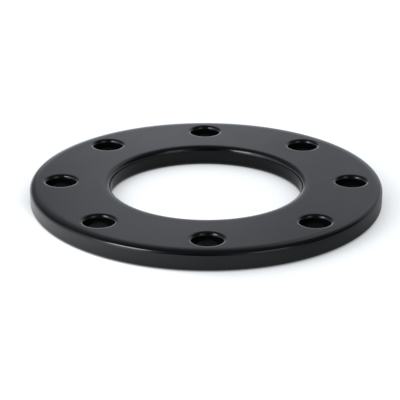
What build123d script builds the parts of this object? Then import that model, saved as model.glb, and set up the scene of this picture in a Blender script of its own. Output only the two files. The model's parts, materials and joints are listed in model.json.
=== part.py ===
"""Round flange plate: a flat ring with a plain bore and a circle of bolt holes.

The ring is one piece. All its edges are softly rolled over, the same on both faces: the
outer rim, the bore and the mouth of each bolt hole. The section of a rolled edge is a
quarter of an ellipse that runs smoothly into the face and into the wall. Its width is
measured along the face and its depth down the wall.

Units are millimetres. +Z is up, along the bore. The origin is the centre of the bore on
the bottom face, and a bolt hole lies on the +X axis.
"""

import os

from build123d import *

# Driving dimensions
plate_thickness = 12.4
bore_diameter = 117.0
bolt_circle_diameter = 178.0
bolt_hole_diameter = 17.8
bolt_hole_count = 8
# From the middle of a bolt hole out to the rim
hole_to_rim = 19.0

# Rolled edges
rim_roll_width = 3.5
rim_roll_depth = 2.9
bore_roll_width = 2.8
bore_roll_depth = 3.9
mouth_roll_width = 1.8
mouth_roll_depth = 2.3

# Radii and heights worked out from them
half_thickness = plate_thickness / 2
bore_radius = bore_diameter / 2
bolt_circle_radius = bolt_circle_diameter / 2
bolt_hole_radius = bolt_hole_diameter / 2
plate_radius = bolt_circle_radius + hole_to_rim

# Upright plane through the axis, halfway up the plate, that the sections are drawn on
section_plane = Plane(origin=(0, 0, half_thickness), x_dir=(1, 0, 0), z_dir=(0, -1, 0))

# One bolt hole with its rolled mouths, as the solid that leaves the ring
with BuildPart() as bolt_hole:
    with BuildSketch(section_plane):
        with BuildLine():
            mouth_roll = EllipticalCenterArc(
                (bolt_hole_radius + mouth_roll_width, half_thickness - mouth_roll_depth),
                mouth_roll_width,
                mouth_roll_depth,
                start_angle=90,
                arc_size=90,
            )
            Line((0, half_thickness), mouth_roll @ 0)
            Line(mouth_roll @ 1, (bolt_hole_radius, 0))
            mirror(about=Plane.XZ)
            Line((0, half_thickness), (0, -half_thickness))
        make_face()
    revolve(axis=Axis.Z)

with BuildPart() as flange_plate:
    # Upper half of the ring's section, from the bore out to the rim, and its mirror image
    with BuildSketch(section_plane):
        with BuildLine():
            bore_roll = EllipticalCenterArc(
                (bore_radius + bore_roll_width, half_thickness - bore_roll_depth),
                bore_roll_width,
                bore_roll_depth,
                start_angle=90,
                arc_size=90,
            )
            rim_roll = EllipticalCenterArc(
                (plate_radius - rim_roll_width, half_thickness - rim_roll_depth),
                rim_roll_width,
                rim_roll_depth,
                start_angle=0,
                arc_size=90,
            )
            Line((bore_radius, 0), bore_roll @ 1)
            Line(bore_roll @ 0, rim_roll @ 1)
            Line(rim_roll @ 0, (plate_radius, 0))
            mirror(about=Plane.XZ)
        make_face()
    revolve(axis=Axis.Z)

    with PolarLocations(bolt_circle_radius, bolt_hole_count):
        add(bolt_hole.part, mode=Mode.SUBTRACT)

flange_plate.part.label = "flange_plate"

os.makedirs("parts", exist_ok=True)
export_step(flange_plate.part, "parts/flange_plate.step")
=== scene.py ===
"""Black coated flange plate, lying on a pale studio floor and seen as its photograph shows it.

Units are metres and degrees. +Z is up along the bore, and the origin is the centre of
the bore on the face that the plate lies on. The camera stands off towards -Y.
"""

import json
import math
from collections import namedtuple

import bmesh
import bpy
from mathutils import Matrix, Vector


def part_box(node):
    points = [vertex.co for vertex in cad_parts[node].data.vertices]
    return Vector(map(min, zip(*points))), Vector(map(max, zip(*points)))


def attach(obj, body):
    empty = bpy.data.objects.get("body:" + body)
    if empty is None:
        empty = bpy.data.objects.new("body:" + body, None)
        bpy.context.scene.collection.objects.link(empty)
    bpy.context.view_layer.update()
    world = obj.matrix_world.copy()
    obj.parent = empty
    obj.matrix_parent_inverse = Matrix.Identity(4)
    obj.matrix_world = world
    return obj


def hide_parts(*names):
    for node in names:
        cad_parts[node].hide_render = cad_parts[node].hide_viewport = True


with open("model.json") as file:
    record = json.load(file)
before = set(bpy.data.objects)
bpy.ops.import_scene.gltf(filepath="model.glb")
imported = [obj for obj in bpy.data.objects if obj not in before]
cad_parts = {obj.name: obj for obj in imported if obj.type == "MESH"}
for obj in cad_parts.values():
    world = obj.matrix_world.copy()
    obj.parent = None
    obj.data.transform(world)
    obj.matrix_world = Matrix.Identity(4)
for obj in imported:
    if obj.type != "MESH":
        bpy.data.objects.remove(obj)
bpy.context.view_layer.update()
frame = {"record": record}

PLATE = "flange_plate"

# Sizes of the plate, read from the frame
plate_low, plate_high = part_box(PLATE)
plate_radius = plate_high.x
plate_thickness = plate_high.z - plate_low.z
mounts = {mount["name"]: mount for mount in frame["record"]["mounts"]}
bore_radius = mounts["bore"]["dims"]["r_mm"] / 1000
bolt_circle_radius = mounts["bolt_holes"]["dims"]["pcd_mm"] / 2000
bolt_hole_radius = mounts["bolt_holes"]["dims"]["hole_r_mm"] / 1000
bolt_hole_count = mounts["bolt_holes"]["dims"]["count"]

# Rolled edges: width along the face, depth down the wall, and how many times its width
# from the wall the roll leaves the face
Roll = namedtuple("Roll", ("width", "depth", "reach"))
RIM_ROLL = Roll(0.0035, 0.0029, 2.0)
BORE_ROLL = Roll(0.0026, 0.0039, 2.5)
MOUTH_ROLL = Roll(0.0018, 0.0025, 1.5)

# Radii at which the rolls leave the flat face
rim_start = plate_radius - RIM_ROLL.reach * RIM_ROLL.width
bore_start = bore_radius + BORE_ROLL.reach * BORE_ROLL.width
hole_start = bolt_hole_radius + MOUTH_ROLL.reach * MOUTH_ROLL.width

# Fineness of the surface. Each hole has its share of the ring, and as many quads round
# its mouth as there are along the edge of that share.
RIM_STEPS = 48
BORE_STEPS = 32
SIDE_STEPS = 24
HOLE_STEPS = RIM_STEPS + BORE_STEPS + 2 * SIDE_STEPS
FACE_LOOPS = 5
RIM_ROLL_STEPS = 14
BORE_ROLL_STEPS = 14
MOUTH_ROLL_STEPS = 10

# Points that agree to this many decimals of a metre are one point
POINT_DECIMALS = 8

# Camera, as the photograph's outlines give it
PHOTO_SIZE = 400
SENSOR_WIDTH = 0.036
FOCAL_IN_PIXELS = 1748.8
CAMERA_DISTANCE = 1.0794
CAMERA_ELEVATION = 22.341
CAMERA_AZIMUTH = 0.60
AIM_YAW = -0.196
AIM_PITCH = -0.0167
CAMERA_ROLL = 0.21
NEAREST_SEEN = 0.01
FARTHEST_SEEN = 50

# Coating: its colour and its roughness run from those of the darkest patches to those of
# the lightest
COAT_IOR = 1.35
DARK_PATCHES = (0.0012, 0.0012, 0.0014, 1)
LIGHT_PATCHES = (0.0030, 0.0030, 0.0034, 1)
COAT_ROUGHNESS = (0.085, 0.125)
PATCHES_PER_METRE = 35.0
RIPPLES_PER_METRE = 420.0
RIPPLE_DEPTH = 0.000006

# Floor: a disc with a colour of its own, and a white glow into which shade and light are painted
FLOOR_RADIUS = 6.0
FLOOR_SIDES = 96
FLOOR_COLOUR = (0.2, 0.2, 0.2, 1)
FLOOR_WHITE = (0.97, 1.0, 1.02, 1)

# What the floor's white glow adds in the open, and the painted light it adds at the front left.
# Both fade beside the plate, within the reach, into a painted shadow, as a power of how open the
# spot is: a low power where the camera sees the floor, and a higher one where the gloss mirrors
# it. The gloss mirrors only a share of the glow, less at the right, and within the bore only a
# part of that share; both are painted shade.
FLOOR_FILL = 0.92
FLOOR_PAINTED_LIGHT = 1.3
FLOOR_SHADE_REACH = 0.03
FLOOR_SHADE_SAMPLES = 16
FLOOR_SHADE_SEEN = 0.7
FLOOR_SHADE_MIRRORED = 1.2
FLOOR_MIRRORED = 0.92
FLOOR_MIRRORED_SHADE_RIGHT = 0.35
FLOOR_MIRRORED_SHADE_BORE = 0.47

# Places on the floor: where the painted light at its front left and the painted shade at its
# right begin and where they are whole, and how wide the soft edge of the painted shade within
# the bore is
PAINTED_LIGHT_X = (0.02, -0.12)
PAINTED_LIGHT_Y = (0.0, -0.1)
MIRRORED_SHADE_X = (0.02, 0.11)
BORE_SHADE_SOFT_EDGE = 0.001

# Room: the colour of its light, what its fields of light are multiplied by, and the
# radiance of the left side and of the low wall
ROOM_COLOUR = (0.95, 1.0, 1.09, 1)
ROOM_STRENGTH = 1.1
LEFT_RADIANCE = 1.05
WALL_RADIANCE = 1.06

# Round glows in the room
Glow = namedtuple("Glow", ("azimuth", "elevation", "whole_within", "gone_at", "radiance"))
LEFT_SIDE_GLOW = Glow(-104, 17, 12, 42, 0.94)
GLOWS = {
    "round the left softbox": Glow(-121, 40, 6, 24, 2.4),
    "under the left softbox": Glow(-126, 14, 6, 26, 1.2),
    "under the right softbox": Glow(140, 14, 8, 24, 0.5),
    "round the right softbox": Glow(140, 36, 8, 34, 0.3),
    "above the left side's glow": Glow(-100, 26, 4, 18, 0.4),
    "on the backdrop": Glow(-1, 23.4, 0.5, 4.7, 0.22),
}

# Softboxes, which face the plate from their distance
Softbox = namedtuple("Softbox", ("azimuth", "elevation", "distance", "width", "height", "radiance"))
SOFTBOXES = {
    "left_softbox": Softbox(-127.6, 40.5, 0.433, 0.156, 0.122, 13.5),
    "right_softbox": Softbox(137, 37, 1.4, 0.52, 0.46, 1.8),
}


def direction(azimuth, elevation):
    """Unit vector. Azimuth 0 points along +Y, away from the camera, and 90 along +X."""
    a, e = math.radians(azimuth), math.radians(elevation)
    return Vector((math.sin(a) * math.cos(e), math.cos(a) * math.cos(e), math.sin(e)))


def make_camera():
    data = bpy.data.cameras.new("camera")
    data.sensor_width = SENSOR_WIDTH * 1000
    data.lens = FOCAL_IN_PIXELS / PHOTO_SIZE * data.sensor_width
    data.clip_start = NEAREST_SEEN
    data.clip_end = FARTHEST_SEEN
    camera = bpy.data.objects.new("camera", data)
    bpy.context.scene.collection.objects.link(camera)
    place = direction(180 + CAMERA_AZIMUTH, CAMERA_ELEVATION) * CAMERA_DISTANCE
    forward = -place.normalized()
    right = forward.cross(Vector((0, 0, 1))).normalized()
    up = right.cross(forward)
    forward += math.tan(math.radians(AIM_YAW)) * right
    forward += math.tan(math.radians(AIM_PITCH)) * up
    forward.normalize()
    right = forward.cross(Vector((0, 0, 1))).normalized()
    up = right.cross(forward)
    roll = math.radians(CAMERA_ROLL)
    across = math.cos(roll) * right + math.sin(roll) * up
    upward = math.cos(roll) * up - math.sin(roll) * right
    turn = Matrix((across, upward, -forward)).transposed()
    camera.matrix_world = Matrix.Translation(place) @ turn.to_4x4()
    bpy.context.scene.camera = camera
    return camera


class Surface:
    """Points with their exact normals, and the faces between them."""

    def __init__(self):
        self.points = []
        self.normals = []
        self.faces = []
        self.known = {}

    def point(self, place, normal):
        key = tuple(round(value, POINT_DECIMALS) for value in place)
        if key not in self.known:
            self.known[key] = len(self.points)
            self.points.append(place)
            self.normals.append(normal)
        return self.known[key]

    def bands(self, rows):
        """Quads between each closed row of points and the next."""
        for row, next_row in zip(rows, rows[1:]):
            for i in range(len(row)):
                j = (i + 1) % len(row)
                self.faces.append((row[i], row[j], next_row[j], next_row[i]))


def turned(place, angle):
    """A point, or a normal, turned about the plate's axis."""
    c, s = math.cos(angle), math.sin(angle)
    return (c * place[0] - s * place[1], s * place[0] + c * place[1], place[2])


def rolled_section(roll, steps):
    """Section of a wall between two rolled edges, from the top face to the bottom face.

    A roll leaves the face slowly and turns down fast at the wall, where it is as round as
    an ellipse of its width and depth. Each row is (distance in from the wall, height,
    outward normal, upward normal).
    """
    top_half = []
    for step in range(steps + 1):
        turn = math.pi / 2 * step / steps
        across, down = math.sin(turn), math.cos(turn)
        if step == steps:
            across, down = 1.0, 0.0
        out, up = roll.depth * across ** (2 - 1 / roll.reach), roll.width * down
        inset = roll.reach * roll.width * (1 - across ** (1 / roll.reach))
        height = plate_thickness - roll.depth * (1 - down)
        top_half.append((inset, height, out / math.hypot(out, up), up / math.hypot(out, up)))
    bottom_half = []
    for inset, height, out, up in reversed(top_half):
        bottom_half.append((inset, plate_thickness - height, out, -up))
    return top_half + bottom_half


def add_ring_wall(surface, wall_radius, outward, section, steps):
    """The rim, with outward 1, or the bore, with -1, row by row round the axis."""
    around = steps * bolt_hole_count
    rows = []
    for inset, height, out, up in section:
        radius = wall_radius - outward * inset
        row = []
        for i in range(around):
            angle = 2 * math.pi * (i + steps / 2) / around
            place = (radius * math.cos(angle), radius * math.sin(angle), height)
            normal = (outward * out * math.cos(angle), outward * out * math.sin(angle), up)
            row.append(surface.point(place, normal))
        rows.append(row)
    surface.bands(rows)


def angle_in_hole(step):
    """Angle about a bolt hole's middle, so that the steps face those of share_outline."""
    return math.pi * (2 * step - RIM_STEPS) / HOLE_STEPS


def add_bolt_hole(surface, section, turn):
    """A bolt hole with its mouths, turned about the axis from +X, row by row."""
    rows = []
    for inset, height, out, up in section:
        radius = bolt_hole_radius + inset
        row = []
        for i in range(HOLE_STEPS):
            c, s = math.cos(angle_in_hole(i)), math.sin(angle_in_hole(i))
            place = (bolt_circle_radius + radius * c, radius * s, height)
            normal = (-out * c, -out * s, up)
            row.append(surface.point(turned(place, turn), turned(normal, turn)))
        rows.append(row)
    surface.bands(rows)


def share_outline():
    """Edge of a bolt hole's share of the flat face, as x and y of each point.

    The hole lies on +X, and the edge runs anticlockwise from the rim's end on the -Y side.
    """
    half_share = math.pi / bolt_hole_count
    outline = []
    for step in range(RIM_STEPS):
        angle = half_share * (2 * step / RIM_STEPS - 1)
        outline.append((rim_start * math.cos(angle), rim_start * math.sin(angle)))
    for step in range(SIDE_STEPS):
        radius = rim_start + (bore_start - rim_start) * step / SIDE_STEPS
        outline.append((radius * math.cos(half_share), radius * math.sin(half_share)))
    for step in range(BORE_STEPS):
        angle = half_share * (1 - 2 * step / BORE_STEPS)
        outline.append((bore_start * math.cos(angle), bore_start * math.sin(angle)))
    for step in range(SIDE_STEPS):
        radius = bore_start + (rim_start - bore_start) * step / SIDE_STEPS
        outline.append((radius * math.cos(half_share), -radius * math.sin(half_share)))
    return outline


def add_face_share(surface, height, up, turn):
    """A bolt hole's share of a flat face, loop by loop from its mouth to the share's edge."""
    outline = share_outline()
    rows = []
    for loop in range(FACE_LOOPS + 1):
        share = loop / FACE_LOOPS
        row = []
        for i, (edge_x, edge_y) in enumerate(outline):
            mouth_x = bolt_circle_radius + hole_start * math.cos(angle_in_hole(i))
            mouth_y = hole_start * math.sin(angle_in_hole(i))
            place = (
                mouth_x + (edge_x - mouth_x) * share,
                mouth_y + (edge_y - mouth_y) * share,
                height,
            )
            row.append(surface.point(turned(place, turn), (0, 0, up)))
        rows.append(row)
    surface.bands(rows)


def plate_surface():
    """The whole plate: rim, bore, bolt holes and the two flat faces between them."""
    surface = Surface()
    rim = rolled_section(RIM_ROLL, RIM_ROLL_STEPS)
    bore = rolled_section(BORE_ROLL, BORE_ROLL_STEPS)
    mouth = rolled_section(MOUTH_ROLL, MOUTH_ROLL_STEPS)
    add_ring_wall(surface, plate_radius, 1, rim, RIM_STEPS)
    add_ring_wall(surface, bore_radius, -1, bore, BORE_STEPS)
    for hole in range(bolt_hole_count):
        turn = 2 * math.pi * hole / bolt_hole_count
        add_bolt_hole(surface, mouth, turn)
        add_face_share(surface, plate_thickness, 1, turn)
        add_face_share(surface, 0, -1, turn)
    return surface


def make_plate(material):
    surface = plate_surface()
    mesh = bpy.data.meshes.new("coated_plate")
    mesh.from_pydata(surface.points, [], surface.faces)
    draft = bmesh.new()
    draft.from_mesh(mesh)
    bmesh.ops.recalc_face_normals(draft, faces=draft.faces)
    draft.to_mesh(mesh)
    draft.free()
    mesh.shade_smooth()
    mesh.normals_split_custom_set_from_vertices(surface.normals)
    mesh.materials.append(material)
    plate = bpy.data.objects.new("coated_plate", mesh)
    bpy.context.scene.collection.objects.link(plate)
    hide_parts(PLATE)
    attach(plate, "root")
    return plate


def node(tree, kind, **values):
    made = tree.nodes.new(kind)
    for name, value in values.items():
        setattr(made, name, value)
    return made


def math_node(tree, operation, *values, clamp=False):
    """A Math node. Each value is a number or another node's output."""
    made = node(tree, "ShaderNodeMath", operation=operation, use_clamp=clamp)
    for slot, value in zip(made.inputs, values):
        if isinstance(value, (int, float)):
            slot.default_value = value
        else:
            tree.links.new(value, slot)
    return made.outputs[0]


def product(tree, first, *others):
    for other in others:
        first = math_node(tree, "MULTIPLY", first, other)
    return first


def total(tree, first, *others):
    for other in others:
        first = math_node(tree, "ADD", first, other)
    return first


def brightest(tree, first, *others):
    for other in others:
        first = math_node(tree, "MAXIMUM", first, other)
    return first


def ramp_node(tree, value, start, end, low=0.0, high=1.0):
    """Smooth step of a value, from low at start to high at end."""
    made = node(tree, "ShaderNodeMapRange", interpolation_type="SMOOTHSTEP")
    tree.links.new(value, made.inputs["Value"])
    made.inputs["From Min"].default_value = start
    made.inputs["From Max"].default_value = end
    made.inputs["To Min"].default_value = low
    made.inputs["To Max"].default_value = high
    return made.outputs["Result"]


def coating_material():
    """Smooth gloss black coating, with the faint ripple and patchiness of a sprayed coat."""
    material = bpy.data.materials.new("black_coating_gloss")
    material.use_nodes = True
    tree = material.node_tree
    shader = tree.nodes["Principled BSDF"]
    shader.inputs["IOR"].default_value = COAT_IOR
    place = node(tree, "ShaderNodeTexCoord")

    def noise(scale, detail):
        made = node(tree, "ShaderNodeTexNoise")
        made.inputs["Scale"].default_value = scale
        made.inputs["Detail"].default_value = detail
        tree.links.new(place.outputs["Object"], made.inputs["Vector"])
        return made.outputs["Fac"]

    # Patches a few centimetres across, where the coat is a little blacker and glossier
    patches = noise(PATCHES_PER_METRE, detail=3.0)
    tint = node(tree, "ShaderNodeMix", data_type="RGBA")
    tint.inputs["A"].default_value = DARK_PATCHES
    tint.inputs["B"].default_value = LIGHT_PATCHES
    tree.links.new(patches, tint.inputs["Factor"])
    tree.links.new(tint.outputs["Result"], shader.inputs["Base Color"])
    roughness = ramp_node(tree, patches, 0.3, 0.7, *COAT_ROUGHNESS)
    tree.links.new(roughness, shader.inputs["Roughness"])

    # Ripple of the coat, about two millimetres from crest to crest
    ripple = node(tree, "ShaderNodeBump")
    ripple.inputs["Strength"].default_value = 1.0
    ripple.inputs["Distance"].default_value = RIPPLE_DEPTH
    tree.links.new(noise(RIPPLES_PER_METRE, detail=2.0), ripple.inputs["Height"])
    tree.links.new(ripple.outputs["Normal"], shader.inputs["Normal"])
    return material


def painted_floor_shade(tree, path):
    """Painted shadow beside the plate: how open the floor is, to the power that suits the ray."""
    shade = node(tree, "ShaderNodeAmbientOcclusion", samples=FLOOR_SHADE_SAMPLES)
    shade.inputs["Distance"].default_value = FLOOR_SHADE_REACH
    softer = FLOOR_SHADE_SEEN - FLOOR_SHADE_MIRRORED
    change = math_node(tree, "MULTIPLY", path.outputs["Is Camera Ray"], softer)
    power = math_node(tree, "ADD", change, FLOOR_SHADE_MIRRORED)
    return math_node(tree, "POWER", shade.outputs["AO"], power)


def floor_material():
    """Pale floor that glows white. The plate's soft shadow on it is partly cast by the lamps and
    partly painted; light at its front left, and shade at its right and within the bore where the
    gloss mirrors it, are painted.
    """
    material = bpy.data.materials.new("pale_floor")
    material.use_nodes = True
    tree = material.node_tree
    shader = tree.nodes["Principled BSDF"]
    shader.inputs["Base Color"].default_value = FLOOR_COLOUR
    shader.inputs["Roughness"].default_value = 1.0
    shader.inputs["Specular IOR Level"].default_value = 0.0
    path = node(tree, "ShaderNodeLightPath")
    seen = brightest(
        tree,
        path.outputs["Is Camera Ray"],
        path.outputs["Is Glossy Ray"],
        path.outputs["Is Transmission Ray"],
    )
    place = node(tree, "ShaderNodeTexCoord").outputs["Object"]
    split = node(tree, "ShaderNodeSeparateXYZ")
    tree.links.new(place, split.inputs[0])
    x, y, _ = split.outputs
    # Painted light: the floor's glow is brighter at the front left
    painted_light = product(
        tree,
        ramp_node(tree, x, *PAINTED_LIGHT_X),
        ramp_node(tree, y, *PAINTED_LIGHT_Y),
    )
    # The even white glow plus the painted light at the front left
    white = math_node(tree, "MULTIPLY_ADD", painted_light, FLOOR_PAINTED_LIGHT, FLOOR_FILL)
    from_axis = node(tree, "ShaderNodeVectorMath", operation="LENGTH")
    tree.links.new(place, from_axis.inputs[0])
    # Painted shade: within the bore the gloss mirrors less of the floor's glow
    mirrored_bore_shade = ramp_node(
        tree,
        from_axis.outputs["Value"],
        bore_radius - BORE_SHADE_SOFT_EDGE,
        bore_radius,
        low=FLOOR_MIRRORED_SHADE_BORE,
    )
    # Painted shade: at the right the gloss mirrors less of the floor's glow
    mirrored = ramp_node(tree, x, *MIRRORED_SHADE_X, FLOOR_MIRRORED, FLOOR_MIRRORED_SHADE_RIGHT)
    mirrored = product(tree, mirrored, mirrored_bore_shade)
    share = brightest(tree, path.outputs["Is Camera Ray"], mirrored)
    # The glow fades beside the plate into a painted shadow
    glow_with_painted_shade = product(tree, seen, painted_floor_shade(tree, path), white, share)
    shader.inputs["Emission Color"].default_value = FLOOR_WHITE
    tree.links.new(glow_with_painted_shade, shader.inputs["Emission Strength"])
    return material


def make_floor():
    bpy.ops.mesh.primitive_circle_add(
        vertices=FLOOR_SIDES,
        radius=FLOOR_RADIUS,
        fill_type="NGON",
        location=(0, 0, 0),
    )
    floor = bpy.context.object
    floor.name = "floor"
    floor.data.materials.append(floor_material())
    return floor


class View:
    """Direction that is looked in from the plate: whole, and its parts from -1 to 1."""

    def __init__(self, tree):
        place = node(tree, "ShaderNodeTexCoord")
        split = node(tree, "ShaderNodeSeparateXYZ")
        tree.links.new(place.outputs["Generated"], split.inputs[0])
        self.whole = place.outputs["Generated"]
        self.right, self.away, self.height = split.outputs
        self.beside = math_node(tree, "ABSOLUTE", self.right)


def glow_field(tree, view, glow):
    """Round patch of light that is whole near its middle and fades out round it."""
    facing = node(tree, "ShaderNodeVectorMath", operation="DOT_PRODUCT")
    tree.links.new(view.whole, facing.inputs[0])
    facing.inputs[1].default_value = direction(glow.azimuth, glow.elevation)
    gone = math.cos(math.radians(glow.gone_at))
    whole = math.cos(math.radians(glow.whole_within))
    return ramp_node(tree, facing.outputs["Value"], gone, whole, low=0.0, high=glow.radiance)


def dim_field(tree, view):
    """Faint light all round, with more at the left and less on the camera's own side."""
    all_round = ramp_node(tree, view.right, 0.3, 0.8, low=0.15, high=0.11)
    left_radiance = ramp_node(tree, view.right, 0.0, -0.3, low=0.0, high=0.09)
    left_top_edge = ramp_node(tree, view.height, 0.90, 0.70)
    left = product(tree, left_radiance, left_top_edge)
    camera_side = product(
        tree,
        ramp_node(tree, view.away, -0.30, -0.75),
        ramp_node(tree, view.beside, 0.34, 0.14),
    )
    share = ramp_node(tree, camera_side, 0.0, 1.0, low=1.0, high=0.2)
    return product(tree, total(tree, left, all_round), share)


def backdrop_field(tree, view, behind, left_edge):
    """Backdrop behind the plate, a higher one to its right, and low light at the right."""
    top_edge = ramp_node(tree, view.height, 0.436, 0.388)
    radiance = ramp_node(tree, view.right, -0.12, 0.03, low=0.24, high=0.42)
    backdrop = product(tree, behind, left_edge, top_edge, radiance)

    right_radiance = ramp_node(tree, view.height, 0.52, 0.82, low=0.46, high=0.0)
    right_start = ramp_node(tree, view.right, 0.04, 0.16)
    slanted = math_node(tree, "MULTIPLY_ADD", view.height, 0.3, view.right)
    right_end = ramp_node(tree, slanted, 0.84, 0.70)
    right_backdrop = product(tree, behind, right_radiance, right_start, right_end)

    low_radiance = ramp_node(tree, view.height, 0.40, 0.0, low=0.0, high=0.42)
    low_start = ramp_node(tree, view.right, 0.20, 0.60)
    right_low = product(tree, low_radiance, low_start)
    return brightest(tree, backdrop, right_backdrop, right_low)


def backdrop_glow(tree, view, behind, left_edge):
    """Light on the backdrop's foot and middle, and the haze over its top."""
    foot_radiance = ramp_node(tree, view.height, 0.10, 0.41, low=0.68, high=0.0)
    foot_right_edge = ramp_node(tree, view.right, 0.10, -0.06)
    foot = product(tree, behind, left_edge, foot_radiance, foot_right_edge)

    middle_radiance = ramp_node(tree, view.height, 0.345, 0.295, low=0.0, high=0.36)
    middle_sides = ramp_node(tree, view.beside, 0.3, 0.1)
    middle = product(tree, behind, middle_radiance, middle_sides)

    haze_low_edge = ramp_node(tree, view.height, 0.38, 0.42)
    haze_radiance = ramp_node(tree, view.height, 0.72, 0.42, low=0.0, high=0.14)
    haze_sides = ramp_node(tree, view.beside, 0.45, 0.2)
    haze = product(tree, behind, haze_low_edge, haze_radiance, haze_sides)
    return total(tree, foot, middle, haze)


def left_field(tree, view, behind):
    """Bright left side, and fainter light behind the plate's left."""
    low_edge = ramp_node(tree, view.height, 0.30, 0.03)
    side_edge = ramp_node(tree, view.right, -0.50, -0.90)
    low = product(tree, low_edge, side_edge)
    left = math_node(tree, "ADD", low, glow_field(tree, view, LEFT_SIDE_GLOW), clamp=True)

    back_radiance = ramp_node(tree, view.height, 0.50, 0.10, low=0.0, high=0.15)
    back_edge = ramp_node(tree, view.right, -0.05, -0.15)
    back_left = product(tree, behind, back_radiance, back_edge)
    return total(tree, back_left, product(tree, left, LEFT_RADIANCE))


def make_world():
    """The room that shows in the gloss.

    Behind the plate stands a backdrop, bright at its foot, with a higher one to its right
    and a faint haze over its top. The left is bright down to the horizon, brightest round
    the left softbox. The right and overhead are dim, and the camera's own side is dark. All
    round, the floor turns up into a low white wall.
    """
    world = bpy.data.worlds.new("studio")
    bpy.context.scene.world = world
    world.use_nodes = True
    tree = world.node_tree
    tree.nodes.clear()
    view = View(tree)
    behind = ramp_node(tree, view.away, 0.2, 0.5)
    left_edge = ramp_node(tree, view.right, -0.20, -0.12)
    fields = total(
        tree,
        dim_field(tree, view),
        backdrop_field(tree, view, behind, left_edge),
        backdrop_glow(tree, view, behind, left_edge),
        left_field(tree, view, behind),
        *(glow_field(tree, view, glow) for glow in GLOWS.values()),
    )
    wall = ramp_node(tree, view.height, 0.17, 0.11, low=0.0, high=WALL_RADIANCE)
    strength = brightest(tree, product(tree, fields, ROOM_STRENGTH), wall)
    light = node(tree, "ShaderNodeBackground")
    light.inputs["Color"].default_value = ROOM_COLOUR
    tree.links.new(strength, light.inputs["Strength"])
    out = node(tree, "ShaderNodeOutputWorld")
    tree.links.new(light.outputs[0], out.inputs["Surface"])
    return world


def make_softbox(name, box):
    """Rectangular lamp that faces the plate and shows in its gloss."""
    data = bpy.data.lights.new(name, "AREA")
    data.shape = "RECTANGLE"
    data.size = box.width
    data.size_y = box.height
    data.energy = box.radiance * math.pi * box.width * box.height
    lamp = bpy.data.objects.new(name, data)
    bpy.context.scene.collection.objects.link(lamp)
    towards = direction(box.azimuth, box.elevation)
    facing = towards.to_track_quat("Z", "Y").to_matrix().to_4x4()
    lamp.matrix_world = Matrix.Translation(towards * box.distance) @ facing
    return lamp


make_plate(coating_material())
make_camera()
make_floor()
make_world()
for softbox_name, softbox in SOFTBOXES.items():
    make_softbox(softbox_name, softbox)

scene = bpy.context.scene
scene.view_settings.view_transform = "Standard"
